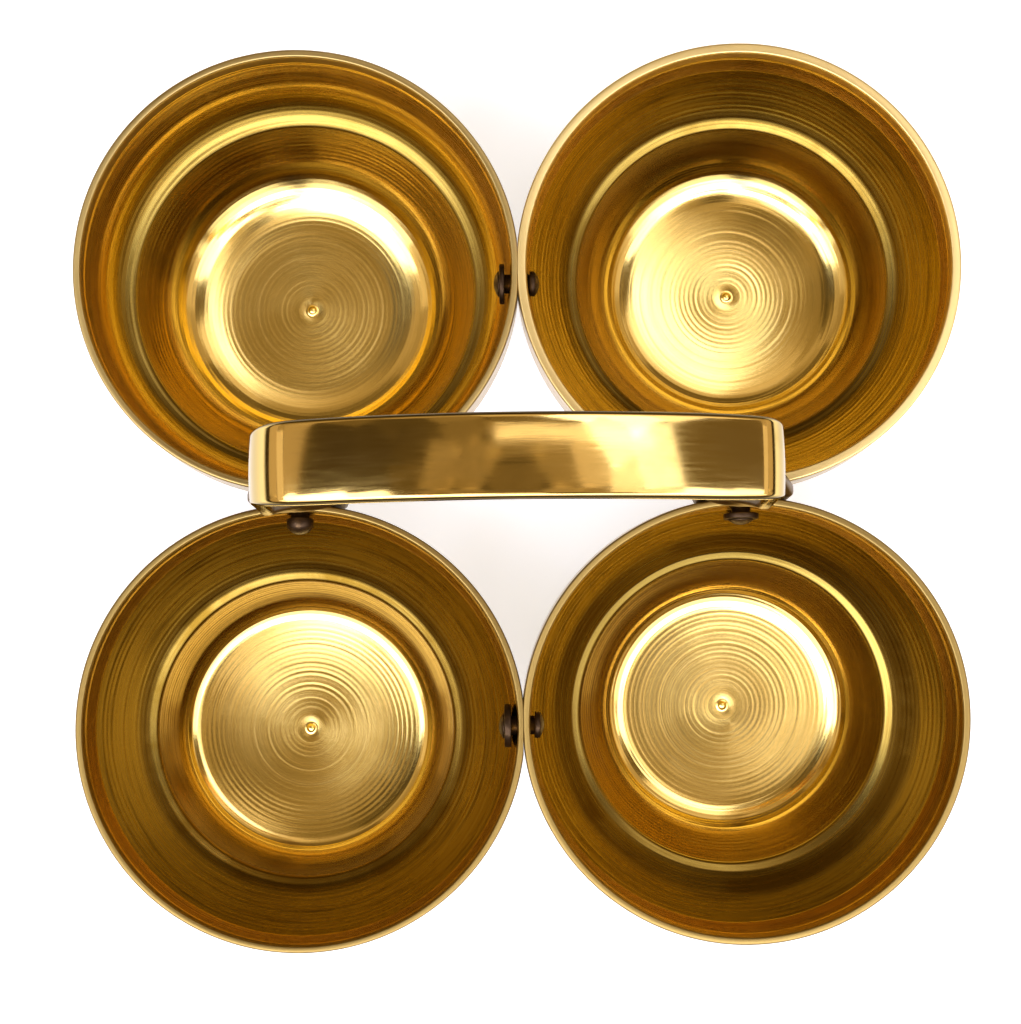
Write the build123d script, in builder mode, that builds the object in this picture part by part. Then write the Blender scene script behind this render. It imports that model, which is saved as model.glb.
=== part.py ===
from build123d import *
import os
from math import cos, radians, sin, sqrt

# Four brass bowls riveted rim to rim in a square, with an arched strap handle over them.
#
# The frame: +Z up, +X to the right, +Y to the rear, in millimetres. The origin is on the
# surface that the bowls stand on, under the middle of the block.

os.makedirs("parts", exist_ok=True)

# Bowls
BOWL_RADIUS = 37.6  # outside of the rim
BOWL_HEIGHT = 32.0
RIM_WALL = 1.7
BAND_TAPER = 0.4  # the wall is this much thicker at the foot of the band
RIM_ROUNDING = 0.4
CLAMP_FLAT = 0.3  # how far a rim is flattened where two bowls are pulled together
BAND_DEPTH = 10.0  # upright band below the rim, outside and inside
BAND_OVERLAP = 1.0  # the outside band ends this much higher than the inside one
BAND_STEP = 1.6  # the inside wall steps in below the band
LEDGE_DEPTH = 16.0  # turned ledge part of the way down the inside
LEDGE_WIDTH = 1.4
LEDGE_DROP = 0.6
WALL_BULGE = 1.5  # how far the lower wall swells out between ledge and floor
BODY_BULGE = 7.0  # outside, half-way up, past the mean of shoulder and floor
FLOOR_THICKNESS = 2.2
BASE_MARGIN = 3.2  # the base is this much wider than the floor inside it
BASE_RECESS = 0.4
BASE_RING = 4.0
PIP_RADIUS = 1.0  # centre mark left by the lathe
PIP_GROOVE = 2.7
PIP_HEIGHT = 0.3

# Handle: one strip, bent twice, with a quarter turn in each leg
STRIP_WIDTH = 12.5
STRIP_THICKNESS = 2.4
STRIP_ROUNDING = 0.7
HANDLE_TOP = 86.0
ARCH_RISE = 7.9
HANDLE_HALF = 38.6  # from the middle of the arch to the middle of a leg
HANDLE_SHIFT = -0.8  # the arch stands a little to the left of the feet
LEFT_SHOULDER = 9.0
RIGHT_SHOULDER = 5.0
TWIST_TOP = 57.0
TWIST_END = 35.0
TWIST_TURN = 90.0
TWIST_STEPS = 6
FOOT_WIDTH = 16.0
FOOT_END = 19.5
FOOT_ROUNDING = 6.0

# Rivets and the burrs that they are peened over
RIVET_RADIUS = 1.6
RIVET_CLEARANCE = 0.03
PAIR_RIVET_HEIGHT = 27.0
HANDLE_RIVET_HEIGHT = 28.0
REAR_RIVET_OFFSET = -1.9  # the rear pair's rivet sits a little to the front
REAR_HEAD_RADIUS = 2.1
FRONT_HEAD_RADIUS = 2.25
HEAD_HEIGHT = 1.6
TALL_HEAD_HEIGHT = 2.8
PEEN_RADIUS = 2.2
PEEN_HEIGHT = 0.9
REAR_BURR_RADIUS = 3.4
REAR_BURR_THICKNESS = 0.9
FRONT_BURR_RADIUS = 3.65
FRONT_BURR_THICKNESS = 1.2
HANDLE_BURR_RADIUS = 3.0
HANDLE_BURR_THICKNESS = 1.0
BURR_ROUNDING = 0.3  # of the burr's thickness
LEAN_OFFSET = 0.6  # the leaning bowl's wall is this far out of line with its rivet
SEAT_GAP = 0.02  # a flat head bridges the curve of the wall and only just meets it

# Places that follow from the sizes above
HALF_X = BOWL_RADIUS - CLAMP_FLAT
HALF_Y = HALF_X + STRIP_THICKNESS / 2
FOOT_FACE = STRIP_THICKNESS / 2
INNER_RADIUS = BOWL_RADIUS - RIM_WALL
BAND_RADIUS = INNER_RADIUS - BAND_TAPER
HOLE_RADIUS = RIVET_RADIUS + RIVET_CLEARANCE
FRONT_RIVET_Y = -HALF_Y
REAR_RIVET_Y = HALF_Y + REAR_RIVET_OFFSET


def bowl_plane(side_x, side_y, height, lean, base_radius):
    """The plane of a bowl's base. A bowl that leans rests on the edge of its base."""
    lift = base_radius * sin(radians(lean))
    reach = height * sin(radians(lean))
    return Plane(
        origin=(side_x * HALF_X, side_y * HALF_Y + reach, lift),
        x_dir=(1, 0, 0),
        z_dir=(0, -sin(radians(lean)), cos(radians(lean))),
    )


def turned_bowl(side_x, side_y, shoulder_radius, floor_radius, height=BOWL_HEIGHT, lean=0.0):
    """A bowl turned about its own axis, flattened where it meets its neighbours, and drilled.

    side_x and side_y are -1 or 1: left or right, front or rear.
    """
    base_radius = floor_radius + BASE_MARGIN
    ring_radius = base_radius - BASE_RING
    base = bowl_plane(side_x, side_y, height, lean, base_radius)
    upright = Plane(origin=base.origin, x_dir=base.x_dir, z_dir=-base.y_dir)
    band_end = height - BAND_DEPTH
    body_top = (BOWL_RADIUS, band_end + BAND_OVERLAP)
    body_middle = ((shoulder_radius + floor_radius) / 2 + BODY_BULGE, band_end / 2)
    band_foot = (BAND_RADIUS, band_end)
    band_step = (BAND_RADIUS - BAND_STEP, band_end - BAND_STEP / 2)
    ledge_outer = (shoulder_radius + LEDGE_WIDTH / 2, height - LEDGE_DEPTH)
    ledge_inner = (shoulder_radius - LEDGE_WIDTH / 2, height - LEDGE_DEPTH - LEDGE_DROP)
    floor_edge = (floor_radius, FLOOR_THICKNESS)
    lower_middle = (
        (ledge_inner[0] + floor_edge[0]) / 2 + WALL_BULGE,
        (ledge_inner[1] + floor_edge[1]) / 2 - WALL_BULGE,
    )
    groove = (PIP_GROOVE, FLOOR_THICKNESS)
    pip_foot = (PIP_RADIUS, FLOOR_THICKNESS - PIP_HEIGHT)
    pip_top = (0, FLOOR_THICKNESS + PIP_HEIGHT)
    with BuildPart() as bowl:
        with BuildSketch(upright):
            with BuildLine():
                # outside, from the recess under the base up to the rim
                Polyline((0, BASE_RECESS), (ring_radius, BASE_RECESS), (ring_radius, 0), (base_radius, 0))
                ThreePointArc((base_radius, 0), body_middle, body_top)
                Polyline(body_top, (BOWL_RADIUS, height), (INNER_RADIUS, height))
                # inside, from the rim down: band, upper wall, ledge, lower wall, floor
                Polyline((INNER_RADIUS, height), band_foot, band_step, ledge_outer, ledge_inner)
                ThreePointArc(ledge_inner, lower_middle, floor_edge)
                Polyline(floor_edge, groove, pip_foot, pip_top, (0, BASE_RECESS))
            make_face()
        revolve(axis=Axis(base.origin, base.z_dir))
        rim_edges = bowl.edges().filter_by(GeomType.CIRCLE).sort_by(Axis(base.origin, base.z_dir))
        fillet(rim_edges[-2:], RIM_ROUNDING)
        # the flats against the neighbour beside it and against the handle's foot
        split(bisect_by=Plane.YZ, keep=Keep.TOP if side_x > 0 else Keep.BOTTOM)
        split(
            bisect_by=Plane.XZ.offset(-side_y * FOOT_FACE),
            keep=Keep.BOTTOM if side_y > 0 else Keep.TOP,
        )
        # the rivet holes through those flats
        pair_y = REAR_RIVET_Y if side_y > 0 else FRONT_RIVET_Y
        with BuildSketch(Plane.YZ):
            with Locations((pair_y, PAIR_RIVET_HEIGHT)):
                Circle(HOLE_RADIUS)
        extrude(amount=side_x * BAND_DEPTH, mode=Mode.SUBTRACT)
        with BuildSketch(Plane.XZ):
            with Locations((side_x * HALF_X, HANDLE_RIVET_HEIGHT)):
                Circle(HOLE_RADIUS)
        extrude(amount=-side_y * BAND_DEPTH, mode=Mode.SUBTRACT)
    return bowl


def twisted_leg(side_x, leg_x):
    """The planes and widths of a leg's quarter turn, from the strip down to its foot.

    The front edge turns inwards, so the two legs turn opposite ways.
    """
    stations = []
    for step in range(TWIST_STEPS + 1):
        part = step / TWIST_STEPS
        turn = radians(TWIST_TURN * part)
        centre_x = leg_x + (side_x * HALF_X - leg_x) * part
        station = Plane(
            origin=(centre_x, 0, TWIST_TOP + (TWIST_END - TWIST_TOP) * part),
            x_dir=(side_x * sin(turn), cos(turn), 0),
            z_dir=(0, 0, 1),
        )
        stations.append((station, STRIP_WIDTH + (FOOT_WIDTH - STRIP_WIDTH) * part))
    return stations


def strap_handle():
    """The handle: arch and shoulders swept, legs lofted through their twist, flat feet."""
    left_x = HANDLE_SHIFT - HANDLE_HALF
    right_x = HANDLE_SHIFT + HANDLE_HALF
    middle_z = HANDLE_TOP - STRIP_THICKNESS / 2
    corner_z = middle_z - ARCH_RISE
    with BuildPart() as handle:
        with BuildLine(Plane.XZ) as path:
            Line((left_x, TWIST_TOP), (left_x, corner_z))
            ThreePointArc((left_x, corner_z), (HANDLE_SHIFT, middle_z), (right_x, corner_z))
            Line((right_x, corner_z), (right_x, TWIST_TOP))
            corner = path.vertices().group_by(Axis.Z)[1].sort_by(Axis.X)[0]
            fillet(corner, LEFT_SHOULDER)
            corner = path.vertices().sort_by_distance((right_x, 0, corner_z))[0]
            fillet(corner, RIGHT_SHOULDER)
        with BuildSketch(Plane(origin=(left_x, 0, TWIST_TOP), x_dir=(0, 1, 0), z_dir=(0, 0, 1))):
            RectangleRounded(STRIP_WIDTH, STRIP_THICKNESS, STRIP_ROUNDING)
        sweep(path=path.wires()[0])
        for side_x, leg_x in ((-1, left_x), (1, right_x)):
            for station, width in twisted_leg(side_x, leg_x):
                with BuildSketch(station):
                    RectangleRounded(width, STRIP_THICKNESS, STRIP_ROUNDING)
            loft()
            with BuildSketch(Plane.XZ):
                with Locations((side_x * HALF_X, (TWIST_END + FOOT_END) / 2)):
                    foot = Rectangle(FOOT_WIDTH, TWIST_END - FOOT_END)
                fillet(foot.vertices().group_by(Axis.Z)[0], FOOT_ROUNDING)
            extrude(amount=STRIP_THICKNESS / 2, both=True)
            with BuildSketch(Plane.XZ):
                with Locations((side_x * HALF_X, HANDLE_RIVET_HEIGHT)):
                    Circle(HOLE_RADIUS)
            extrude(amount=STRIP_THICKNESS, both=True, mode=Mode.SUBTRACT)
    return handle


def rivet(start, head_seat, head_radius, head_height, peen_seat):
    """A rivet along the plane's +Z, with its head before head_seat and its peened end after.

    The plane's origin is on the rivet's axis, and both seats are distances along it.
    """
    profile = Plane(origin=start.origin, x_dir=start.x_dir, z_dir=-start.y_dir)
    with BuildPart() as fastener:
        with BuildSketch(profile):
            with BuildLine():
                Line((0, head_seat - head_height), (0, peen_seat + PEEN_HEIGHT))
                TangentArc((0, peen_seat + PEEN_HEIGHT), (PEEN_RADIUS, peen_seat), tangent=(1, 0))
                Line((PEEN_RADIUS, peen_seat), (RIVET_RADIUS, peen_seat))
                Line((RIVET_RADIUS, peen_seat), (RIVET_RADIUS, head_seat))
                Line((RIVET_RADIUS, head_seat), (head_radius, head_seat))
                Line((head_radius, head_seat), (head_radius, head_seat - head_height / 2))
                TangentArc(
                    (0, head_seat - head_height),
                    (head_radius, head_seat - head_height / 2),
                    tangent=(1, 0),
                )
            make_face()
        revolve(axis=Axis(start.origin, start.z_dir))
    return fastener


def burr(start, seat, radius, thickness):
    """The washer that a rivet is peened over, with its near face at seat."""
    with BuildPart() as washer:
        with BuildSketch(start.offset(seat)):
            Circle(radius)
            Circle(HOLE_RADIUS, mode=Mode.SUBTRACT)
        extrude(amount=thickness)
        top = washer.edges().filter_by(GeomType.CIRCLE).group_by(SortBy.RADIUS)[-1]
        fillet(top, thickness * BURR_ROUNDING)
    return washer


def wall_seat(reach, offset):
    """How far from the flat a head of this reach first meets the inside of the wall."""
    return HALF_X - sqrt(BAND_RADIUS**2 - (abs(offset) + reach) ** 2) + SEAT_GAP


rear_left_bowl = turned_bowl(-1, 1, shoulder_radius=30.6, floor_radius=17.6)
rear_right_bowl = turned_bowl(1, 1, shoulder_radius=28.1, floor_radius=17.8)
front_left_bowl = turned_bowl(-1, -1, shoulder_radius=26.6, floor_radius=19.4)
front_right_bowl = turned_bowl(1, -1, shoulder_radius=27.3, floor_radius=19.4, height=30.0, lean=5.0)
handle = strap_handle()

# Rivets between left and right bowls: head in the right bowl, peened end in the left one
rear_pair = Plane(origin=(0, REAR_RIVET_Y, PAIR_RIVET_HEIGHT), z_dir=(-1, 0, 0))
rear_burr_seat = wall_seat(REAR_BURR_RADIUS, REAR_RIVET_OFFSET)
rear_rivet_washer = burr(rear_pair, rear_burr_seat, REAR_BURR_RADIUS, REAR_BURR_THICKNESS)
rear_rivet = rivet(
    rear_pair,
    head_seat=-wall_seat(REAR_HEAD_RADIUS, REAR_RIVET_OFFSET),
    head_radius=REAR_HEAD_RADIUS,
    head_height=HEAD_HEIGHT,
    peen_seat=rear_burr_seat + REAR_BURR_THICKNESS,
)

front_pair = Plane(origin=(0, FRONT_RIVET_Y, PAIR_RIVET_HEIGHT), z_dir=(-1, 0, 0))
front_burr_seat = wall_seat(FRONT_BURR_RADIUS, 0)
front_rivet_washer = burr(front_pair, front_burr_seat, FRONT_BURR_RADIUS, FRONT_BURR_THICKNESS)
front_rivet = rivet(
    front_pair,
    head_seat=-wall_seat(FRONT_HEAD_RADIUS, LEAN_OFFSET),
    head_radius=FRONT_HEAD_RADIUS,
    head_height=HEAD_HEIGHT,
    peen_seat=front_burr_seat + FRONT_BURR_THICKNESS,
)

# Rivets through a rear bowl, the handle's foot and a front bowl. The left one has its tall
# head in the front bowl, and the right one is peened there.
left_foot = Plane(origin=(-HALF_X, 0, HANDLE_RIVET_HEIGHT), z_dir=(0, 1, 0))
left_burr_seat = FOOT_FACE + wall_seat(HANDLE_BURR_RADIUS, 0)
left_handle_rivet_washer = burr(left_foot, left_burr_seat, HANDLE_BURR_RADIUS, HANDLE_BURR_THICKNESS)
left_handle_rivet = rivet(
    left_foot,
    head_seat=-FOOT_FACE - wall_seat(FRONT_HEAD_RADIUS, 0),
    head_radius=FRONT_HEAD_RADIUS,
    head_height=TALL_HEAD_HEIGHT,
    peen_seat=left_burr_seat + HANDLE_BURR_THICKNESS,
)

right_foot = Plane(origin=(HALF_X, 0, HANDLE_RIVET_HEIGHT), z_dir=(0, -1, 0))
right_burr_seat = FOOT_FACE + wall_seat(HANDLE_BURR_RADIUS, 0)
right_handle_rivet_washer = burr(right_foot, right_burr_seat, HANDLE_BURR_RADIUS, HANDLE_BURR_THICKNESS)
right_handle_rivet = rivet(
    right_foot,
    head_seat=-FOOT_FACE - wall_seat(FRONT_HEAD_RADIUS, 0),
    head_radius=FRONT_HEAD_RADIUS,
    head_height=HEAD_HEIGHT,
    peen_seat=right_burr_seat + HANDLE_BURR_THICKNESS,
)

pieces = {
    "rear_left_bowl": rear_left_bowl,
    "rear_right_bowl": rear_right_bowl,
    "front_left_bowl": front_left_bowl,
    "front_right_bowl": front_right_bowl,
    "handle": handle,
    "rear_rivet": rear_rivet,
    "rear_rivet_washer": rear_rivet_washer,
    "front_rivet": front_rivet,
    "front_rivet_washer": front_rivet_washer,
    "left_handle_rivet": left_handle_rivet,
    "left_handle_rivet_washer": left_handle_rivet_washer,
    "right_handle_rivet": right_handle_rivet,
    "right_handle_rivet_washer": right_handle_rivet_washer,
}
for name, piece in pieces.items():
    piece.part.label = name
    export_step(piece.part, f"parts/{name}.step")
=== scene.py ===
from math import atan2, cos, hypot, pi, radians, sin, sqrt, tan

import bpy
import bmesh
import numpy as np
from mathutils import Matrix, Vector


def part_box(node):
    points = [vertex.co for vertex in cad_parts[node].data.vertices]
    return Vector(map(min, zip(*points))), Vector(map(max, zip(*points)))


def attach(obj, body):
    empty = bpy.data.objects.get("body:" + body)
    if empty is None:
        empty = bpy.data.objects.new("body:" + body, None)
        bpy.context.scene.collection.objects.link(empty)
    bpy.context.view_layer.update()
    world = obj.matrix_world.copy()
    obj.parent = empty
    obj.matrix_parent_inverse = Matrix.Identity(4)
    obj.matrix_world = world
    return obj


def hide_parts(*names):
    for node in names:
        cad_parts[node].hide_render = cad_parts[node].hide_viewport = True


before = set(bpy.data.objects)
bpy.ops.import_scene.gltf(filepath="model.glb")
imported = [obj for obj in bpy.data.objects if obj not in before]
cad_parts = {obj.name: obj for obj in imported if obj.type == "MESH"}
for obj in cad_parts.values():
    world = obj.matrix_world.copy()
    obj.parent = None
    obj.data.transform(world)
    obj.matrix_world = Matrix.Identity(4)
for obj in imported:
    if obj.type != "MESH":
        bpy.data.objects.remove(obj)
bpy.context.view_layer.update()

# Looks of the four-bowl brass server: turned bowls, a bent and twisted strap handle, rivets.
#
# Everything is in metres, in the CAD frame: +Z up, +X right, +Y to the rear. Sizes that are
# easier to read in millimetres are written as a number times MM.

MM = 0.001
UP = Vector((0, 0, 1))

# ---------------------------------------------------------------- sizes shared with the CAD
CLAMP_FLAT = 0.3 * MM
BOWL_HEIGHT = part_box("rear_left_bowl")[1].z
BOWL_RADIUS = (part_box("rear_left_bowl")[1].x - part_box("rear_left_bowl")[0].x + CLAMP_FLAT) / 2
HALF_X = BOWL_RADIUS - CLAMP_FLAT
FOOT_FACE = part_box("rear_left_bowl")[0].y
HALF_Y = HALF_X + FOOT_FACE
BAND_DEPTH = 10.0 * MM
CONE_DEPTH = 8.8 * MM
BAND_TAPER = 0.4 * MM
LEDGE_DEPTH = 16.0 * MM
LEDGE_WIDTH = 1.4 * MM
LEDGE_DROP = 0.6 * MM
FLOOR_THICKNESS = 2.2 * MM
BASE_MARGIN = 3.2 * MM
BASE_RING = 4.0 * MM
BASE_RECESS = 0.4 * MM
BASE_EDGE = 0.35 * MM
BODY_BULGE = 7.0 * MM
LINE_DEPTH = 3.2 * MM
LEANING_HEIGHT = 30.0 * MM

# ---------------------------------------------------------------- camera
CAMERA_PLACE = Vector((-1.37 * MM, -37.42 * MM, BOWL_HEIGHT + 347.75 * MM))
CAMERA_PITCH = radians(2.0)
CAMERA_ROLL = -0.013
SENSOR = 36.0
LENS = 73.283
SHIFT_X = -0.0045
SHIFT_Y = 0.131


def make_camera():
    """Almost straight down from just in front of the middle of the block."""
    data = bpy.data.cameras.new("camera")
    data.sensor_width = SENSOR
    data.lens = LENS
    data.shift_x = SHIFT_X
    data.shift_y = SHIFT_Y
    data.clip_start, data.clip_end = 0.01, 10
    camera = bpy.data.objects.new("camera", data)
    bpy.context.scene.collection.objects.link(camera)
    camera.location = CAMERA_PLACE
    camera.rotation_euler = (CAMERA_PITCH, 0, CAMERA_ROLL)
    bpy.context.scene.camera = camera


# ---------------------------------------------------------------- mesh helpers
def new_piece(name, vertices, faces, material, smooth=True):
    """A mesh object from plain lists, with its normals made consistent."""
    mesh = bpy.data.meshes.new(name)
    mesh.from_pydata([tuple(v) for v in vertices], [], faces)
    shaper = bmesh.new()
    shaper.from_mesh(mesh)
    bmesh.ops.recalc_face_normals(shaper, faces=shaper.faces)
    for face in shaper.faces:
        face.smooth = smooth
    shaper.to_mesh(mesh)
    shaper.free()
    mesh.materials.append(material)
    piece = bpy.data.objects.new(name, mesh)
    bpy.context.scene.collection.objects.link(piece)
    return piece


def finish_piece(piece, node):
    """A piece stands for its CAD node and moves with the only body."""
    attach(piece, "root")
    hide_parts(node)
    return piece


def spin(profile, segments, closed=False):
    """Rings of points round +Z from (radius, height) pairs, and the quads between them.

    A pair on the axis becomes a single point with a fan of triangles.
    """
    vertices, rings = [], []
    for radius, height in profile:
        if radius < 1e-7:
            rings.append([len(vertices)])
            vertices.append((0.0, 0.0, height))
            continue
        rings.append(range(len(vertices), len(vertices) + segments))
        for k in range(segments):
            angle = 2 * pi * k / segments
            vertices.append((radius * cos(angle), radius * sin(angle), height))
    faces = []
    pairs = list(zip(rings, rings[1:])) + ([(rings[-1], rings[0])] if closed else [])
    for low, high in pairs:
        for k in range(segments):
            following = (k + 1) % segments
            if len(low) == 1:
                faces.append((low[0], high[k], high[following]))
            elif len(high) == 1:
                faces.append((low[k], high[0], low[following]))
            else:
                faces.append((low[k], high[k], high[following], low[following]))
    return vertices, faces


def arc(centre, radius, start, end, steps):
    """Points on an arc, from one angle to another, both in radians, the first left out."""
    angles = [start + (end - start) * k / steps for k in range(1, steps + 1)]
    return [(centre[0] + radius * cos(a), centre[1] + radius * sin(a)) for a in angles]


def even(points, step):
    """A polyline resampled so that no run between its points is longer than step."""
    result = [points[0]]
    for (r0, z0), (r1, z1) in zip(points, points[1:]):
        count = max(1, int(np.ceil(hypot(r1 - r0, z1 - z0) / step)))
        result += [(r0 + (r1 - r0) * k / count, z0 + (z1 - z0) * k / count) for k in range(1, count + 1)]
    return result


# ---------------------------------------------------------------- bowls
SEGMENTS = 240
FLOOR_STEP = 0.18 * MM
WALL_STEP = 0.45 * MM
LEDGE_STEP = 0.2 * MM
LEDGE_EASING = 0.9 * MM
RIM_ROUNDING = 0.35 * MM
CONE_WALL = 1.7 * MM
MARK_PITCH = 0.85 * MM
MARK_DEPTH = 0.009 * MM
MARKS_START = 3 * MM
OUTSIDE_LEVEL = 24 * MM
OUTSIDE_START = 120
CLEARANCE = 0.005 * MM

# Sizes of each bowl, in millimetres unless something else is said:
#   side         the quarter of the block it stands in, as the signs of X and Y
#   ledge, cove  radius of the ledge in the wall; bow of the wall above it, in degrees
#   flat, floor  radii of the flat middle of the floor and of the floor's edge
#   slope        rise of the dished floor at its edge, as a ratio
#   fillet, rim  radius from the floor into the wall; thickness of the rim
#   drift, lean  how far the floor is off the rim's axis; degrees that it leans to the front
#   seed         of its tool marks and stains
#   lower_shade_by    height by which the lower wall's painted shade is full
#   ledge_shade, rim_highlight_tone   how much painted shade the ledge gets and how pale the rim's painted highlight is, 0 to 1
BOWLS = {
    "rear_left_bowl": dict(
        side=(-1, 1), ledge=30.6, cove=26, flat=13.0, floor=17.5, slope=0.25, fillet=14.0, rim=1.3,
        drift=(0.0, -1.1), lean=0.0, seed=3, lower_shade_by=10.0, ledge_shade=0.1, rim_highlight_tone=0.4,
    ),
    "rear_right_bowl": dict(
        side=(1, 1), ledge=28.1, cove=4, flat=6.0, floor=17.2, slope=0.20, fillet=10.5, rim=1.7,
        drift=(0.8, 0.4), lean=0.0, seed=5, lower_shade_by=7.5, ledge_shade=0.5, rim_highlight_tone=0.9,
    ),
    "front_left_bowl": dict(
        side=(-1, -1), ledge=26.6, cove=3, flat=2.8, floor=19.4, slope=0.16, fillet=4.6, rim=1.2,
        drift=(-1.0, -0.1), lean=0.0, seed=7, lower_shade_by=6.2, ledge_shade=0.7, rim_highlight_tone=0.2,
    ),
    "front_right_bowl": dict(
        side=(1, -1), ledge=27.3, cove=3, flat=3.0, floor=17.2, slope=0.11, fillet=7.2, rim=1.3,
        drift=(-1.4, 0.6), lean=5.0, seed=9, lower_shade_by=7.0, ledge_shade=0.7, rim_highlight_tone=0.2,
    ),
}
# radius of the floor in the CAD, which the outside follows
CAD_FLOOR = {
    "rear_left_bowl": 17.6,
    "rear_right_bowl": 17.8,
    "front_left_bowl": 19.4,
    "front_right_bowl": 19.4,
}


def fillet_to(edge, lean, radius, target, steps):
    """An arc that leaves the floor's edge at an angle and runs on in line with target."""
    centre = (edge[0] - radius * sin(lean), edge[1] + radius * cos(lean))
    dx, dy = target[0] - centre[0], target[1] - centre[1]
    reach = sqrt(dx * dx + dy * dy - radius * radius)
    turn = atan2(dy, dx) + atan2(radius, reach)
    return arc(centre, radius, lean - pi / 2, turn - pi / 2, steps)


def inside_profile(height, spec):
    """From the middle of the floor out and up to the top of the rim."""
    ledge, flat, floor = spec["ledge"] * MM, spec["flat"] * MM, spec["floor"] * MM
    inner = BOWL_RADIUS - spec["rim"] * MM
    band = BOWL_RADIUS - CONE_WALL - BAND_TAPER
    bottom = FLOOR_THICKNESS
    ledge_in = (ledge - LEDGE_WIDTH / 2, height - LEDGE_DEPTH - LEDGE_DROP)
    ledge_out = (ledge + LEDGE_WIDTH / 2, height - LEDGE_DEPTH)
    # from the ledge up to the band: a cone, or a cove where the ledge is wide
    band_end = (band, height - CONE_DEPTH)
    bow = radians(spec["cove"])
    chord = atan2(band_end[1] - ledge_out[1], band_end[0] - ledge_out[0])
    half = hypot(band_end[0] - ledge_out[0], band_end[1] - ledge_out[1]) / 2
    size = half / sin(bow)
    centre = (ledge_out[0] - size * sin(chord - bow), ledge_out[1] + size * cos(chord - bow))
    cone = arc(centre, size, chord - bow - pi / 2, chord + bow - pi / 2, 24)
    # the centre mark that the turning tool leaves
    pip = [
        (0.0, bottom + 0.34 * MM),
        (0.35 * MM, bottom + 0.30 * MM),
        (0.62 * MM, bottom + 0.12 * MM),
        (0.9 * MM, bottom - 0.14 * MM),
        (1.3 * MM, bottom - 0.1 * MM),
        (2.2 * MM, bottom + 0.05 * MM),
        (2.7 * MM, bottom + 0.02 * MM),
    ]
    floor_points = even([pip[-1], (floor, bottom)], FLOOR_STEP)
    lean = atan2(spec["slope"], 1)
    dish = (floor - flat) / sin(lean)
    floor_points = [(r, z + dish - sqrt(dish**2 - max(r - flat, 0) ** 2)) for r, z in floor_points]
    curve = fillet_to(floor_points[-1], lean, spec["fillet"] * MM, ledge_in, 40)
    lower_wall = even([curve[-1], ledge_in], WALL_STEP)
    step = even([ledge_in, ledge_out], LEDGE_STEP)
    # a fine line is cut round the band below the rim
    line = height - LINE_DEPTH
    band_wall = even([cone[-1], (inner - 0.1 * MM, line)], WALL_STEP)
    above_line = [(inner - 0.02 * MM, line + 0.08 * MM), (inner, height - RIM_ROUNDING)]
    band_wall += even(above_line, WALL_STEP)
    rim_top = arc((inner + RIM_ROUNDING, height - RIM_ROUNDING), RIM_ROUNDING, pi, pi / 2, 4)
    ledge_zone = softened(even(lower_wall + step[1:] + cone, LEDGE_STEP), LEDGE_EASING)
    return pip[:-1] + floor_points + curve + ledge_zone[1:] + band_wall[1:] + rim_top


def softened(points, reach):
    """An evenly spaced polyline with its corners eased over a length of reach each way."""
    line = np.array(points)
    window = int(round(reach / LEDGE_STEP))
    weights = np.hanning(2 * window + 3)[1:-1]
    weights /= weights.sum()
    result = line.copy()
    for axis in (0, 1):
        first, last = line[0, axis], line[-1, axis]
        before = first + (first - line[window:0:-1, axis])
        after = last + (last - line[-2 : -window - 2 : -1, axis])
        full = np.concatenate([before, line[:, axis], after])
        result[:, axis] = np.convolve(full, weights, "valid")
    return [tuple(p) for p in result]


def outside_profile(height, ledge, floor):
    """From the top of the rim down the outside to the middle of the base."""
    base = floor + BASE_MARGIN
    ring = base - BASE_RING
    band_end = height - BAND_DEPTH
    body_top = (BOWL_RADIUS, band_end + MM)
    middle = ((ledge + floor) / 2 + BODY_BULGE, band_end / 2)
    rim_round = arc((BOWL_RADIUS - RIM_ROUNDING, height - RIM_ROUNDING), RIM_ROUNDING, pi / 2, 0, 4)
    body = arc_through(body_top, middle, (base, BASE_EDGE), 44)
    foot = arc((base - BASE_EDGE, BASE_EDGE), BASE_EDGE, 0, -pi / 2, 4)
    under = [(ring + 0.2 * MM, 0.0), (ring, BASE_RECESS)]
    recess = even([(ring, BASE_RECESS), (2 * MM, BASE_RECESS)], MM)
    return (
        [(BOWL_RADIUS - RIM_ROUNDING, height)]
        + rim_round
        + even([rim_round[-1], body_top], WALL_STEP)[1:]
        + body
        + foot
        + under
        + recess[1:]
        + [(0.0, BASE_RECESS)]
    )


def arc_through(start, middle, end, steps):
    """Points on the circle through three points, the first left out."""
    (ax, ay), (bx, by), (cx, cy) = start, middle, end
    d = 2 * (ax * (by - cy) + bx * (cy - ay) + cx * (ay - by))
    a2, b2, c2 = ax * ax + ay * ay, bx * bx + by * by, cx * cx + cy * cy
    centre = (
        (a2 * (by - cy) + b2 * (cy - ay) + c2 * (ay - by)) / d,
        (a2 * (cx - bx) + b2 * (ax - cx) + c2 * (bx - ax)) / d,
    )
    radius = hypot(ax - centre[0], ay - centre[1])
    first = atan2(ay - centre[1], ax - centre[0])
    last = atan2(cy - centre[1], cx - centre[0])
    return arc(centre, radius, first, last, steps)


def lengths_along(points):
    """The distance from a polyline's start to each of its points."""
    lengths = [0.0]
    for (r0, z0), (r1, z1) in zip(points, points[1:]):
        lengths.append(lengths[-1] + hypot(r1 - r0, z1 - z0))
    return lengths


def lathe_marks(profile, pitch, depth, seed):
    """How far each ring of the profile is pushed out of line by the turning tool."""
    rng = np.random.RandomState(seed)
    lengths = lengths_along(profile)
    knots = np.arange(0, lengths[-1] + pitch, pitch / 2)
    heights = rng.uniform(-1, 1, len(knots)) + 0.8 * np.cos(np.arange(len(knots)) * pi)
    return depth * np.interp(lengths, knots, heights)


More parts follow.
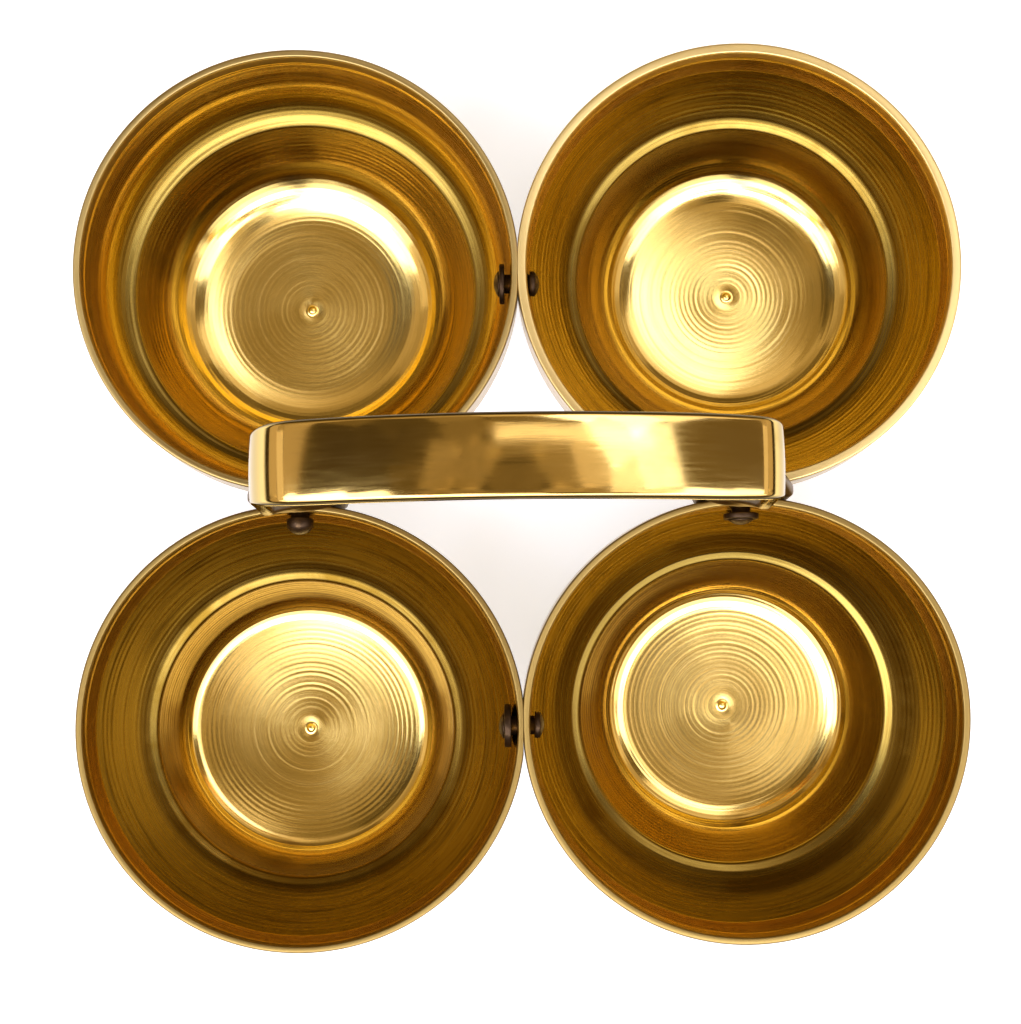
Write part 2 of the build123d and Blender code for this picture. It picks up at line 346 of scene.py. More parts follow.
def turned_bowl(name, spec, material):
    """One bowl: spun profile with tool marks, a little out of round, flat where it is clamped."""
    lean = radians(spec["lean"])
    height = LEANING_HEIGHT if lean else BOWL_HEIGHT
    inside = inside_profile(height, spec)
    outside = outside_profile(height, spec["ledge"] * MM, CAD_FLOOR[name] * MM)
    marks = lathe_marks(inside, MARK_PITCH, MARK_DEPTH, spec["seed"])
    profile = []
    for k, (radius, z) in enumerate(inside):
        before, after = inside[max(k - 1, 0)], inside[min(k + 1, len(inside) - 1)]
        run = hypot(after[0] - before[0], after[1] - before[1])
        normal = (-(after[1] - before[1]) / run, (after[0] - before[0]) / run)
        reach = marks[k] if radius > MARKS_START and z < height - MM else 0.0
        profile.append((radius + normal[0] * reach, z + normal[1] * reach))
    vertices, faces = spin(profile + outside, SEGMENTS)

    # out of round, and the floor's axis off the rim's
    points = np.array(vertices)
    around = np.arctan2(points[:, 1], points[:, 0])
    radius = np.hypot(points[:, 0], points[:, 1])
    phase = spec["seed"] * 1.3
    inward = 0.06 * MM * (1 + np.cos(2 * around + phase))
    inward += 0.05 * MM * (1 + np.cos(3 * around - phase))
    weight = np.clip(radius / BOWL_RADIUS, 0, 1) ** 4
    scale = np.where(radius > 1e-9, 1 - weight * inward / np.maximum(radius, 1e-9), 1)
    points[:, 0] *= scale
    points[:, 1] *= scale
    inside_count = sum(1 if r < 1e-7 else SEGMENTS for r, _ in profile)
    depth = np.clip((height - points[:inside_count, 2]) / (height - FLOOR_THICKNESS), 0, 1)
    for axis in (0, 1):
        points[:inside_count, axis] += spec["drift"][axis] * MM * depth

    # stand it in its place
    side_x, side_y = spec["side"]
    base_radius = CAD_FLOOR[name] * MM + BASE_MARGIN
    origin = Vector((side_x * HALF_X, side_y * HALF_Y + height * sin(lean), base_radius * sin(lean)))
    turn = Matrix.Rotation(lean, 4, "X")
    place = Matrix.Translation(origin) @ turn
    points = np.array([place @ Vector(p) for p in points])
    # the flats against the neighbour and the handle's foot
    points[:, 0] = side_x * np.maximum(side_x * points[:, 0], CLEARANCE)
    points[:, 1] = side_y * np.maximum(side_y * points[:, 1], FOOT_FACE + CLEARANCE)
    points[:, 2] = np.maximum(points[:, 2], 0.0)
    inverse = place.inverted()
    levels = np.array([(inverse @ Vector(p)).z for p in points])
    # the outside has one even finish, except for its rim
    outer = levels[inside_count:]
    outer[outer < height - RIM_ROUNDING - 0.1 * MM] = OUTSIDE_LEVEL
    piece = new_piece(name + "_turned", [Vector(p) - origin for p in points], faces, material)
    piece.location = origin
    add_turning_coordinates(piece, inside_count, profile)
    add_values(piece, "level", levels)
    return finish_piece(piece, name)


def add_turning_coordinates(piece, inside_count, profile):
    """A per-point value: the distance along the turned surface, in millimetres."""
    count = len(piece.data.vertices)
    values = np.zeros(count, np.float32)
    place = 0
    for (radius, _), length in zip(profile, lengths_along(profile)):
        ring = 1 if radius < 1e-7 else SEGMENTS
        values[place : place + ring] = length / MM
        place += ring
    outside = [v.co for v in piece.data.vertices[inside_count:]]
    values[inside_count:] = [OUTSIDE_START + (v.z - hypot(v.x, v.y)) / MM for v in outside]
    add_values(piece, "turned", values)


def add_values(piece, name, values):
    """A value per point, for the material to read."""
    attribute = piece.data.attributes.new(name, "FLOAT", "POINT")
    attribute.data.foreach_set("value", values)


# ---------------------------------------------------------------- handle
STRIP_WIDTH = 12.5 * MM
STRIP_THICKNESS = FOOT_FACE * 2
HANDLE_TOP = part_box("handle")[1].z
FOOT_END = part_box("handle")[0].z
ARCH_RISE = 7.9 * MM
HANDLE_HALF = 38.6 * MM
HANDLE_SHIFT = -0.8 * MM
LEFT_SHOULDER = 9.0 * MM
RIGHT_SHOULDER = 5.0 * MM
TWIST_TOP = 57.0 * MM
TWIST_END = 35.0 * MM
FOOT_WIDTH = 16.0 * MM
FOOT_ROUNDING = 6.0 * MM
STRIP_ROUNDING = 0.85 * MM
STRIP_CROWN = 0.14 * MM
STRIP_NARROWING = 0.14
TWIST_WAIST = 0.3
DENT_DEPTH = 0.008 * MM
DENT_ROOM = 0.05 * MM
SKIN_INSET = 0.02
SECTION_POINTS = 12
HANDLE_STEP = 0.6 * MM


def strip_width(z):
    """The strip is filed narrower towards its legs."""
    return STRIP_WIDTH * (1 - STRIP_NARROWING * smooth((HANDLE_TOP - 5 * MM - z) / (11 * MM)))


def smooth(t):
    """0 to 1 with level ends."""
    t = min(max(t, 0.0), 1.0)
    return t * t * (3 - 2 * t)


def arch_path():
    """The middle line of the strip from the left leg over the arch to the right leg, as
    (x, z) points: each leg's upright part, a round shoulder and a shallow arc between."""
    middle_z = HANDLE_TOP - STRIP_THICKNESS / 2
    radius = (HANDLE_HALF**2 + ARCH_RISE**2) / (2 * ARCH_RISE)
    centre = (HANDLE_SHIFT, middle_z - radius)
    left_x, right_x = HANDLE_SHIFT - HANDLE_HALF, HANDLE_SHIFT + HANDLE_HALF
    # a shoulder of radius s touches the leg's line and the arch from inside
    left_centre_x = left_x + LEFT_SHOULDER
    left_lift = sqrt((radius - LEFT_SHOULDER) ** 2 - (left_centre_x - centre[0]) ** 2)
    left_centre = (left_centre_x, centre[1] + left_lift)
    right_centre_x = right_x - RIGHT_SHOULDER
    right_lift = sqrt((radius - RIGHT_SHOULDER) ** 2 - (right_centre_x - centre[0]) ** 2)
    right_centre = (right_centre_x, centre[1] + right_lift)
    left_angle = atan2(left_centre[1] - centre[1], left_centre[0] - centre[0])
    right_angle = atan2(right_centre[1] - centre[1], right_centre[0] - centre[0])
    points = even([(left_x, TWIST_TOP), (left_x, left_centre[1])], HANDLE_STEP)
    points += arc(left_centre, LEFT_SHOULDER, pi, left_angle, 24)
    points += arc(centre, radius, left_angle, right_angle, 110)
    points += arc(right_centre, RIGHT_SHOULDER, right_angle, 0, 18)
    points += even([(right_x, right_centre[1]), (right_x, TWIST_TOP)], HANDLE_STEP)[1:]
    return points


def leg_stations(side, leg_x):
    """Stations from the end of a foot up to the strip: centre, along, across, width."""
    stations = []
    foot_x = side * HALF_X
    count = int((TWIST_END - FOOT_END) / HANDLE_STEP)
    for k in range(count):
        z = FOOT_END + (TWIST_END - FOOT_END) * k / count
        inset = max(0.0, FOOT_ROUNDING - (z - FOOT_END))
        cut = FOOT_ROUNDING - sqrt(max(FOOT_ROUNDING**2 - inset**2, 0.0))
        across = Vector((side, 0, 0))
        stations.append((Vector((foot_x, 0, z)), Vector(UP), across, FOOT_WIDTH - 2 * cut))
    count = int((TWIST_TOP - TWIST_END) / (HANDLE_STEP * 0.7))
    for k in range(count):
        part = k / count
        turn = radians(90 * (1 - smooth(part) * 0.35 - part * 0.65))
        x = foot_x + (leg_x - foot_x) * smooth(part)
        width = FOOT_WIDTH + (strip_width(TWIST_TOP) - FOOT_WIDTH) * smooth(part)
        width *= 1 - TWIST_WAIST * sin(pi * part)
        across = Vector((side * sin(turn), cos(turn), 0))
        z = TWIST_END + (TWIST_TOP - TWIST_END) * part
        stations.append((Vector((x, 0, z)), Vector(UP), across, width))
    return stations


def strip_stations():
    """Every station of the handle from the left foot's end to the right foot's end."""
    path = arch_path()
    stations = leg_stations(-1, path[0][0])
    for k, (x, z) in enumerate(path):
        before, after = path[max(k - 1, 0)], path[min(k + 1, len(path) - 1)]
        along = Vector((after[0] - before[0], 0, after[1] - before[1])).normalized()
        stations.append((Vector((x, 0, z)), along, Vector((0, 1, 0)), strip_width(z)))
    for centre, along, across, width in reversed(leg_stations(1, path[-1][0])):
        stations.append((centre, -along, across, width))
    return stations


def strip_section(width, thickness, crown, rounding):
    """Points of the strip's section as (across, out): crowned outside, rounded edges."""
    half, deep = width / 2, thickness / 2
    points = []
    for k in range(SECTION_POINTS + 1):
        u = -1 + 2 * k / SECTION_POINTS
        x = u * (half - rounding)
        points.append((x, deep - crown * u * u))
    corner = [(half, deep - crown - rounding), (half, -deep + rounding)]
    edge = arc((half - rounding, deep - crown - rounding), rounding, pi / 2, 0, 6)[:-1]
    low = arc((half - rounding, -deep + rounding), rounding, 0, -pi / 2, 6)[:-1]
    right = edge + corner + low
    steps = [1 - 2 * k / SECTION_POINTS for k in range(SECTION_POINTS + 1)]
    under = [((half - rounding) * step, -deep) for step in steps]
    left = [(-x, y) for x, y in reversed(right)]
    return points + right + under + left


def strap_handle(material):
    """The handle as one skin over all stations, with the unevenness of hand bending."""
    rng = np.random.RandomState(11)
    waves = [(rng.uniform(-1, 1), rng.uniform(0.6, 2.4), rng.uniform(0, 6.28)) for _ in range(7)]
    stations = strip_stations()
    vertices, faces, edge_shade_weights = [], [], []
    travelled = 0.0
    previous = stations[0][0]
    for centre, along, across, width in stations:
        travelled += (centre - previous).length
        previous = centre
        out = along.cross(across).normalized()
        in_arch = smooth((centre.z - TWIST_TOP) / (8 * MM))
        section = strip_section(width, STRIP_THICKNESS, STRIP_CROWN * in_arch, STRIP_ROUNDING)
        count = len(section)
        for x, y in section:
            wave = sum(a * sin(f * travelled / (9 * MM) + p + x / (5 * MM)) for a, f, p in waves)
            dent = DENT_DEPTH * wave * in_arch
            # painted shade: the strip's edges, its upright parts and its ends get a darker colour, for the
            # shade that their sideways-facing surfaces show
            edge = smooth((abs(x) / width - 0.44) / 0.04)
            upright = 0.6 * smooth((abs(along.z) - 0.55) / 0.35)
            edge_shade_weights.append(max(edge, upright))
            lift = y * (1 - SKIN_INSET) + dent - DENT_ROOM * in_arch
            vertices.append(centre + across * x + out * lift)
    rows = len(stations)
    for row in range(rows - 1):
        for k in range(count):
            a, b = row * count + k, row * count + (k + 1) % count
            faces.append((a, b, b + count, a + count))
    for row, (centre, _, _, _) in ((0, stations[0]), (rows - 1, stations[-1])):
        tip = len(vertices)
        vertices.append(centre)
        edge_shade_weights.append(1.0)
        faces += [(row * count + k, row * count + (k + 1) % count, tip) for k in range(count)]
    piece = new_piece("strap_handle", vertices, faces, material)
    add_values(piece, "painted_edge_shade", edge_shade_weights)
    return finish_piece(piece, "handle")


# ---------------------------------------------------------------- rivets and burrs
RIVET_SEGMENTS = 40
SHANK_RADIUS = 1.6 * MM
PEEN_RADIUS = 2.2 * MM
PEEN_HEIGHT = 0.9 * MM
PEEN_EDGE = 0.12 * MM
BURR_HOLE = 1.63 * MM
BURR_ROUNDING = 0.25 * MM

# node, its axis as 0, 1 or 2, the way that its head faces away from, head radius and height
# in millimetres, and seed
RIVETS = (
    ("rear_rivet", 0, -1, 2.1, 1.6, 21),
    ("front_rivet", 0, -1, 2.25, 1.6, 22),
    ("left_handle_rivet", 1, 1, 2.25, 2.8, 23),
    ("right_handle_rivet", 1, -1, 2.25, 1.6, 24),
)
BURR_SEED = 10


def dented(points, seed, depth):
    """Points moved a little by smooth seeded waves, as a hammer leaves a rivet."""
    rng = np.random.RandomState(seed)
    waves = rng.uniform(-1, 1, (6, 3))
    phases = rng.uniform(0, 2 * pi, 6)
    moved = []
    for p in points:
        v = np.array(p)
        push = sum(sin(float(np.dot(w, v)) / (0.9 * MM) + f) for w, f in zip(waves, phases))
        moved.append(v * (1 + depth * push / 6))
    return moved


def lay_round(name, node, profile, place, material, seed, depth):
    """A turned fastener laid along its axis, dented, and put in its CAD node's place."""
    vertices, faces = spin(profile, RIVET_SEGMENTS)
    vertices = dented(vertices, seed, depth)
    piece = new_piece(name, vertices, faces, material)
    piece.matrix_world = place
    return finish_piece(piece, node)


def ends_of(node, axis, toward):
    """The frame of a fastener: origin at its box's middle, +Z along its axis, half length."""
    low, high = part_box(node)
    centre = (low + high) / 2
    direction = Vector((0, 0, 0))
    direction[axis] = toward
    across = Vector((0, 0, 1))
    side = across.cross(direction)
    turn = Matrix((side, across, direction)).transposed().to_4x4()
    return Matrix.Translation(centre) @ turn, (high[axis] - low[axis]) / 2


def dome(radius, base, top, steps):
    """A spherical cap's profile from its edge to its tip on the axis."""
    rise = top - base
    size = (radius * radius + rise * rise) / (2 * abs(rise))
    sign = 1 if rise > 0 else -1
    points = []
    for k in range(1, steps + 1):
        r = radius * (1 - k / steps)
        points.append((r, top - sign * (size - sqrt(size * size - r * r))))
    return points


def rivet(node, axis, toward, head_radius, head_height, seed, material):
    """A rivet with a dome head at the start of its axis and a hammered end at the other."""
    place, half = ends_of(node, axis, toward)
    head_seat = -half + head_height
    head = [(r, z) for r, z in reversed(dome(head_radius, -half + head_height / 2, -half, 10))]
    head += [(head_radius, -half + head_height / 2), (head_radius, head_seat - 0.06 * MM)]
    head += [(head_radius - 0.06 * MM, head_seat), (SHANK_RADIUS, head_seat)]
    peen_seat = half - PEEN_HEIGHT
    peen = [(SHANK_RADIUS, peen_seat), (PEEN_RADIUS - 0.1 * MM, peen_seat)]
    peen += [(PEEN_RADIUS, peen_seat + PEEN_EDGE)]
    peen += dome(PEEN_RADIUS, peen_seat + PEEN_EDGE, half, 10)
    return lay_round(node + "_hammered", node, head + peen, place, material, seed, 0.03)


def burr(node, axis, toward, seed, material):
    """A round washer with softened edges and a hole for its rivet."""
    place, half = ends_of(node, axis, toward)
    low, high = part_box(node)
    radius = (high.z - low.z) / 2
    soft = BURR_ROUNDING
    profile = [(BURR_HOLE, -half), (radius - soft, -half)]
    profile += arc((radius - soft, -half + soft), soft, -pi / 2, 0, 4)
    profile += arc((radius - soft, half - soft), soft, 0, pi / 2, 4)
    profile += even([(radius - soft, half), (BURR_HOLE, half)], 0.4 * MM)[1:]
    vertices, faces = spin(profile, RIVET_SEGMENTS, closed=True)
    vertices = dented(vertices, seed, 0.02)
    piece = new_piece(node + "_hammered", vertices, faces, material)
    piece.matrix_world = place
    return finish_piece(piece, node)


# ---------------------------------------------------------------- materials
class Nodes:
    """A short way to add and link shader nodes."""

    def __init__(self, name):
        self.material = bpy.data.materials.new(name)
        self.material.use_nodes = True
        self.tree = self.material.node_tree
        self.tree.nodes.clear()
        self.out = self.add("ShaderNodeOutputMaterial")
        self.shader = self.add("ShaderNodeBsdfPrincipled")
        self.link(self.shader, "BSDF", self.out, "Surface")

    def add(self, kind, **settings):
        node = self.tree.nodes.new(kind)
        for key, value in settings.items():
            setattr(node, key, value)
        return node

    def link(self, source, output, target, socket):
        self.tree.links.new(source.outputs[output], target.inputs[socket])

    def noise(self, source, output, scale, detail=3.0, rough=0.5, dimensions="3D"):
        node = self.add("ShaderNodeTexNoise", noise_dimensions=dimensions)
        node.inputs["Scale"].default_value = scale
        node.inputs["Detail"].default_value = detail
        node.inputs["Roughness"].default_value = rough
        self.link(source, output, node, "W" if dimensions == "1D" else "Vector")
        return node

    def span(self, source, output, low, high, to_low, to_high):
        node = self.add("ShaderNodeMapRange")
        for socket, value in (("From Min", low), ("From Max", high), ("To Min", to_low), ("To Max", to_high)):
            node.inputs[socket].default_value = value
        self.link(source, output, node, "Value")
        return node

    def math(self, operation, first, second):
        node = self.add("ShaderNodeMath", operation=operation)
        for k, value in enumerate((first, second)):
            if isinstance(value, tuple):
                self.tree.links.new(value[0].outputs[value[1]], node.inputs[k])
            else:
                node.inputs[k].default_value = value
        return node

    def bump(self, source, strength, distance):
        node = self.add("ShaderNodeBump")
        node.inputs["Strength"].default_value = strength
        node.inputs["Distance"].default_value = distance
        self.link(source, "Fac", node, "Height")
        return node

    def mix_colour(self, factor, first, second):
        node = self.add("ShaderNodeMix", data_type="RGBA")
        self.tree.links.new(factor[0].outputs[factor[1]], node.inputs[0])
        for socket, value in ((6, first), (7, second)):
            if isinstance(value, tuple) and hasattr(value[0], "outputs"):
                self.tree.links.new(value[0].outputs[value[1]], node.inputs[socket])
            else:
                node.inputs[socket].default_value = (*value, 1)
        return node


# base colours
BRASS = (0.88, 0.645, 0.205)
DEEP_BRASS = (0.85, 0.61, 0.18)
TARNISH = (0.60, 0.40, 0.10)
# painted shade on the walls above the ledge
UPPER_WALL_SHADE_BRASS = (0.46, 0.28, 0.028)
# dark brass for the streaks, and for the painted shade on the ledge and the dark end of the rim's painted
# highlight
STREAK_AND_SHADE_BRASS = (0.16, 0.09, 0.01)
# painted highlight: pale brass for rims that show a bright reflection
RIM_HIGHLIGHT_BRASS = (0.80, 0.60, 0.24)
# painted shade on the walls below the ledge
LOWER_WALL_SHADE_BRASS = (0.27, 0.18, 0.035)
STRIP_BRASS = (0.85, 0.60, 0.19)
STRIP_TARNISH = (0.62, 0.41, 0.10)
# painted shade on the strip's edges and upright parts
EDGE_SHADE_BRASS = (0.08, 0.05, 0.012)
# painted shade on the handle's legs
LEG_SHADE_BRASS = (0.13, 0.075, 0.02)
COPPER = (0.045, 0.024, 0.010)
BRIGHT_COPPER = (0.14, 0.08, 0.03)

# heights in a bowl, in the bowl's own frame, where its finish, its painted shade and its painted highlight
# change
LOWER_SHADE_FROM = 4.0 * MM
LEDGE_SHADE_ZONE = (14.2 * MM, 15.2 * MM, 16.6 * MM, 17.6 * MM)
UPPER_SHADE_ZONE = (16 * MM, 18 * MM)
RIM_ZONE = (29.2 * MM, 29.7 * MM)


def turned_brass(name, spec):
    """Brass cut on a lathe: fine rings, stretched highlights and dark streaks, with painted shade on its
    walls and ledge and a painted highlight on its rim.
    """
    seed, ledge_shade, rim_highlight_tone = spec["seed"], spec["ledge_shade"], spec["rim_highlight_tone"]
    n = Nodes(name)
    place = n.add("ShaderNodeTexCoord")
    turned = n.add("ShaderNodeAttribute", attribute_name="turned")
    height = n.add("ShaderNodeAttribute", attribute_name="level")
    shifted = n.add("ShaderNodeVectorMath", operation="ADD")
    shifted.inputs[1].default_value = (seed * 0.37, seed * 0.11, 0)
    n.link(place, "Object", shifted, 0)
    rings = n.noise(turned, "Fac", 5.0, 4.0, 0.6, "1D")
    broad = n.noise(turned, "Fac", 0.55, 2.0, 0.5, "1D")
    patches = n.noise(shifted, "Vector", 62, 5.0, 0.62)
    specks = n.noise(shifted, "Vector", 900, 3.0, 0.5)

    # bright floor with a few stains
    stain = n.span(patches, "Fac", 0.52, 0.70, 0.0, 1.0)
    deep = n.span(broad, "Fac", 0.35, 0.7, 0.0, 1.0)
    base = n.mix_colour((deep, "Result"), BRASS, DEEP_BRASS)
    high = n.span(height, "Fac", 5 * MM, 9 * MM, 0.1, 1.0)
    spots = n.math("MULTIPLY", (stain, "Result"), (high, "Result"))
    spotted = n.mix_colour((spots, 0), (base, 2), TARNISH)

    # painted shade: the walls below and above the ledge are given darker brass, standing in for the dark
    # surroundings and walls that they reflect
    lower_shade = n.span(height, "Fac", LOWER_SHADE_FROM, spec["lower_shade_by"] * MM, 0.0, 0.95)
    upper_shade = n.span(height, "Fac", *UPPER_SHADE_ZONE, 0.0, 1.0)
    lower_shaded = n.mix_colour((lower_shade, "Result"), (spotted, 2), LOWER_WALL_SHADE_BRASS)
    walls_shaded = n.mix_colour((upper_shade, "Result"), (lower_shaded, 2), UPPER_WALL_SHADE_BRASS)

    # painted shade in patches on the ledge, darkening and breaking up the ledge's highlight
    below = n.span(height, "Fac", *LEDGE_SHADE_ZONE[:2], 0.0, 1.0)
    above = n.span(height, "Fac", *LEDGE_SHADE_ZONE[2:], 1.0, 0.0)
    ledge = n.math("MULTIPLY", (below, "Result"), (above, "Result"))
    ledge_shade_patches = n.span(patches, "Fac", 0.42, 0.56, 0.6 * ledge_shade, 1.4 * ledge_shade)
    ledge_painted_shade = n.math("MULTIPLY", (ledge, 0), (ledge_shade_patches, "Result"))
    shaded = n.mix_colour((ledge_painted_shade, 0), (walls_shaded, 2), STREAK_AND_SHADE_BRASS)

    # dark streaks drawn out along the turning
    stretch = n.add("ShaderNodeVectorMath", operation="MULTIPLY")
    stretch.inputs[1].default_value = (45, 45, 0)
    n.link(shifted, "Vector", stretch, 0)
    split = n.add("ShaderNodeSeparateXYZ")
    n.link(stretch, "Vector", split, "Vector")
    along = n.math("MULTIPLY", (turned, "Fac"), 1.1)
    around = n.add("ShaderNodeCombineXYZ")
    n.link(split, "X", around, "X")
    n.link(split, "Y", around, "Y")
    n.link(along, 0, around, "Z")
    streaks = n.noise(around, "Vector", 1.0, 5.0, 0.65)
    streaked = n.span(streaks, "Fac", 0.5, 0.68, 0.0, 0.75)
    on_wall = n.math("MULTIPLY", (streaked, "Result"), (high, "Result"))
    aged_and_shaded = n.mix_colour((on_wall, 0), (shaded, 2), STREAK_AND_SHADE_BRASS)

    # painted highlight and shade on the rim: its top is painted between dark and pale brass, by how brightly
    # each bowl's rim reflects
    rim = n.span(height, "Fac", *RIM_ZONE, 0.0, 1.0)
    rim_highlight_colour = [old + (pale - old) * rim_highlight_tone for old, pale in zip(STREAK_AND_SHADE_BRASS, RIM_HIGHLIGHT_BRASS)]
    colour = n.mix_colour((rim, "Result"), (aged_and_shaded, 2), rim_highlight_colour)
    n.link(colour, 2, n.shader, "Base Color")

    # rougher on the floor, the upper wall and the rim than on the fillet between
    polish = n.span(rings, "Fac", 0.3, 0.7, 0.07, 0.13)
    worn = n.span(patches, "Fac", 0.45, 0.72, 0.0, 0.06)
    floor_rough = n.span(height, "Fac", 2.6 * MM, 3.4 * MM, 0.07, 0.0)
    wall_rough = n.span(height, "Fac", 12 * MM, 15 * MM, 0.0, 0.16)
    zones = n.math("ADD", (floor_rough, "Result"), (wall_rough, "Result"))
    marks = n.math("ADD", (polish, "Result"), (worn, "Result"))
    surface = n.math("ADD", (marks, 0), (zones, 0))
    rim_rough = n.math("MULTIPLY", (rim, "Result"), 0.15)
    rough = n.math("ADD", (surface, 0), (rim_rough, 0))
    n.link(rough, 0, n.shader, "Roughness")
    n.shader.inputs["Metallic"].default_value = 1.0
    n.shader.inputs["Anisotropic"].default_value = 0.75
    tangent = n.add("ShaderNodeTangent", direction_type="RADIAL", axis="Z")
    n.link(tangent, "Tangent", n.shader, "Tangent")

    fine = n.bump(rings, 0.25, 0.02 * MM)
    grain = n.bump(specks, 0.12, 0.03 * MM)
    n.link(fine, "Normal", grain, "Normal")
    n.link(grain, "Normal", n.shader, "Normal")
    return n.material


def polished_brass():
    """Brass strip, buffed by hand: long soft scratches, a few handled patches, and painted shade on its
    edges, upright parts and legs.
    """
    n = Nodes("polished_brass")
    place = n.add("ShaderNodeTexCoord")
    stretch = n.add("ShaderNodeMapping")
    stretch.inputs["Scale"].default_value = (1.0, 14.0, 1.0)
    n.link(place, "Object", stretch, "Vector")
    strokes = n.noise(stretch, "Vector", 160, 4.0, 0.6)
    patches = n.noise(place, "Object", 70, 4.0, 0.55)
    stain = n.span(patches, "Fac", 0.55, 0.75, 0.0, 0.8)
    colour = n.mix_colour((stain, "Result"), STRIP_BRASS, STRIP_TARNISH)
    height = n.add("ShaderNodeSeparateXYZ")
    n.link(place, "Object", height, "Vector")
    # painted shade: the legs below the arch are given dark brass, as they stand in shade under the strip
    leg = n.span(height, "Z", 58 * MM, 66 * MM, 1.0, 0.0)
    painted_edge_shade = n.add("ShaderNodeAttribute", attribute_name="painted_edge_shade")
    # painted shade on the strip's edges and upright parts
    edge_shaded = n.mix_colour((painted_edge_shade, "Fac"), (colour, 2), EDGE_SHADE_BRASS)
    aged_and_shaded = n.mix_colour((leg, "Result"), (edge_shaded, 2), LEG_SHADE_BRASS)
    n.link(aged_and_shaded, 2, n.shader, "Base Color")
    polish = n.span(strokes, "Fac", 0.3, 0.7, 0.07, 0.12)
    dull = n.math("MULTIPLY", (leg, "Result"), 0.3)
    rough = n.math("ADD", (polish, "Result"), (dull, 0))
    n.link(rough, 0, n.shader, "Roughness")
    n.shader.inputs["Metallic"].default_value = 1.0
    bump = n.bump(strokes, 0.15, 0.02 * MM)
    n.link(bump, "Normal", n.shader, "Normal")
    return n.material


def dark_copper():
    """Copper gone brown, with brighter hammered high spots."""
    n = Nodes("dark_copper")
    place = n.add("ShaderNodeTexCoord")
    patches = n.noise(place, "Object", 700, 4.0, 0.6)
    bright = n.span(patches, "Fac", 0.55, 0.8, 0.0, 1.0)
    colour = n.mix_colour((bright, "Result"), COPPER, BRIGHT_COPPER)
    n.link(colour, 2, n.shader, "Base Color")
    rough = n.span(patches, "Fac", 0.3, 0.7, 0.5, 0.3)
    n.link(rough, "Result", n.shader, "Roughness")
    n.shader.inputs["Metallic"].default_value = 0.85
    bump = n.bump(patches, 0.4, 0.08 * MM)
    n.link(bump, "Normal", n.shader, "Normal")
    return n.material


def pale_floor():
    """Plain matt white surface."""
    n = Nodes("pale_floor")
    n.shader.inputs["Base Color"].default_value = (0.78, 0.82, 0.88, 1)
    n.shader.inputs["Roughness"].default_value = 0.8
    n.shader.inputs["Emission Color"].default_value = (1, 1, 1, 1)
    n.shader.inputs["Emission Strength"].default_value = 0.6
    return n.material


# ---------------------------------------------------------------- stage
def make_floor():
    """A large round sheet just under the bowls."""
    level, radius = -0.02 * MM, 6.0
    profile = [(0.0, level), (0.1, level)] + [(radius * k / 20, level) for k in range(1, 21)]
    new_piece("floor", *spin(profile, 96), pale_floor(), smooth=False)


# Rows of soft panels on a dome over the block: zenith angle and height of the row in
# degrees, then the brightness of each panel from the right through the rear and round.
DOME = (
    (0, 10, (0.15,)),
    (9, 6, (0.3, 0.2, 0.3, 0.3, 1.0, 0.4)),
    (15, 6, (0.8, 0.15, 0.15, 0.2, 0.35, 0.3, 2.4, 1.2, 0.05, 0.35)),
    (21, 6, (1.6, 2.2, 3.0, 0.4, 0.25, 0.05, 0.1, 1.4, 4.0, 1.9, 0.1, 0.4)),
    (28, 8, (2.2, 3, 3.0, 0.8, 0.3, 0.05, 0.03, 3, 7, 7, 7, 1.6, 0.8, 1.6)),
    (37, 10, (0.12, 1.8, 1.8, 0.8, 0.5, 0.15, 0.02, 5, 7, 7, 7, 7, 5, 3.5)),
    (47, 10, (0.12, 1.2, 0.8, 0.4, 0.4, 0.5, 0.5, 4, 6, 6, 6, 6, 4.5, 3)),
    (58, 12, (0.9, 0.5, 0.15, 0.1, 0.15, 0.4, 0.9, 2.2, 2.2, 2.2, 2.2, 2)),
    (72, 16, (0.6, 0.2, 0.1, 0.15, 0.6, 0.5, 0.3, 0.2, 0.3, 0.6)),
)
SURROUND = 0.05

# one long narrow panel behind the handle, level with X: zenith, azimuth, length and height
# in degrees, and its brightness
STREAK = (15.5, 43, 31, 3, 1.4)
STREAK_REACH = 0.85

# dim panels are amber and bright ones nearly white
AMBER = Vector((1.0, 0.66, 0.25))
DAYLIGHT = Vector((1.0, 1.02, 1.2))
WHITE_FROM = 2.4
DOME_RADIUS = 1.3


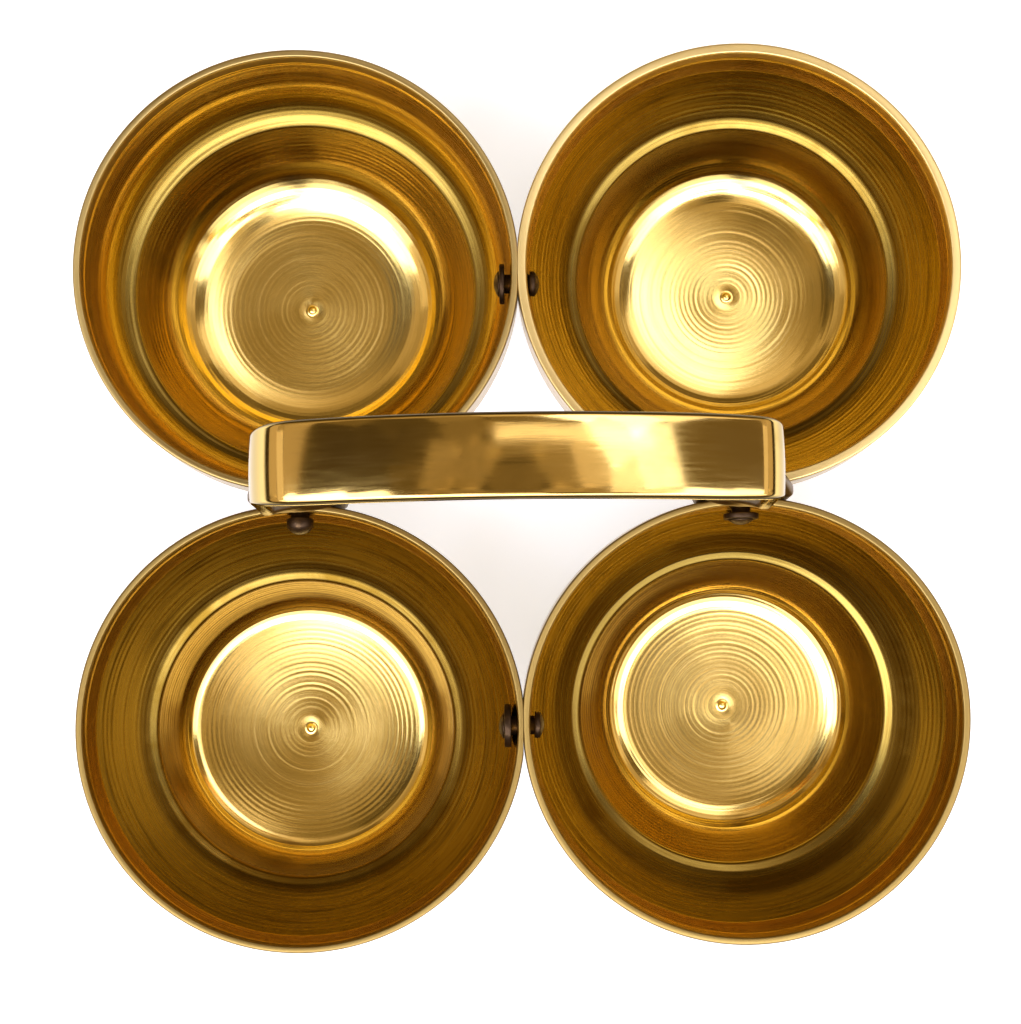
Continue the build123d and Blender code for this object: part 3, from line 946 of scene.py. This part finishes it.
def soft_panel(
    zenith, azimuth, height, width, brightness, reach=DOME_RADIUS, level_with=None
):
    """A rectangular soft light on the dome, facing the middle of the block. It lies along its
    row, or along the direction given."""
    data = bpy.data.lights.new("panel", "AREA")
    data.shape = "RECTANGLE"
    data.size, data.size_y = width, height
    data.energy = pi * width * height * brightness
    data.color = AMBER.lerp(DAYLIGHT, min(brightness / WHITE_FROM, 1.0))
    away = Vector((sin(zenith) * cos(azimuth), sin(zenith) * sin(azimuth), cos(zenith)))
    side = Vector((-sin(azimuth), cos(azimuth), 0))
    if level_with:
        side = (level_with - away * level_with.dot(away)).normalized()
    turn = Matrix((side, away.cross(side), away)).transposed()
    panel = bpy.data.objects.new("panel", data)
    bpy.context.scene.collection.objects.link(panel)
    panel.location = Vector((0, 0, 0.03)) + away * reach
    panel.rotation_euler = turn.to_euler()


def make_light():
    """The dome of panels, and a dim even surround."""
    world = bpy.data.worlds.new("surround")
    bpy.context.scene.world = world
    world.use_nodes = True
    shade = world.node_tree.nodes["Background"]
    shade.inputs["Color"].default_value = (*AMBER, 1)
    shade.inputs["Strength"].default_value = SURROUND
    for zenith, height, panels in DOME:
        tall = 2 * DOME_RADIUS * tan(radians(height) / 2)
        count = len(panels)
        wide = 2 * DOME_RADIUS * sin(radians(zenith)) * tan(pi / count) if zenith else tall
        for k, brightness in enumerate(panels):
            azimuth = 2 * pi * (k + 0.5 * (count % 4 == 2)) / count
            if brightness > 0:
                soft_panel(radians(zenith), azimuth, tall, wide, brightness)
    zenith, azimuth, length, height, brightness = STREAK
    reach = STREAK_REACH * DOME_RADIUS
    wide, tall = reach * radians(length), reach * radians(height)
    along_x = Vector((1, 0, 0))
    soft_panel(radians(zenith), radians(azimuth), tall, wide, brightness, reach, along_x)
    bpy.context.scene.view_settings.view_transform = "Standard"


# ---------------------------------------------------------------- assembly
make_camera()
make_light()
make_floor()
for bowl_name, bowl_spec in BOWLS.items():
    turned_bowl(bowl_name, bowl_spec, turned_brass(bowl_name + "_brass", bowl_spec))
strap_handle(polished_brass())
copper = dark_copper()
for node, axis, toward, head_radius, head_height, seed in RIVETS:
    rivet(node, axis, toward, head_radius * MM, head_height * MM, seed, copper)
for node, axis, toward, _, _, seed in RIVETS:
    burr(node + "_washer", axis, toward, seed + BURR_SEED, copper)
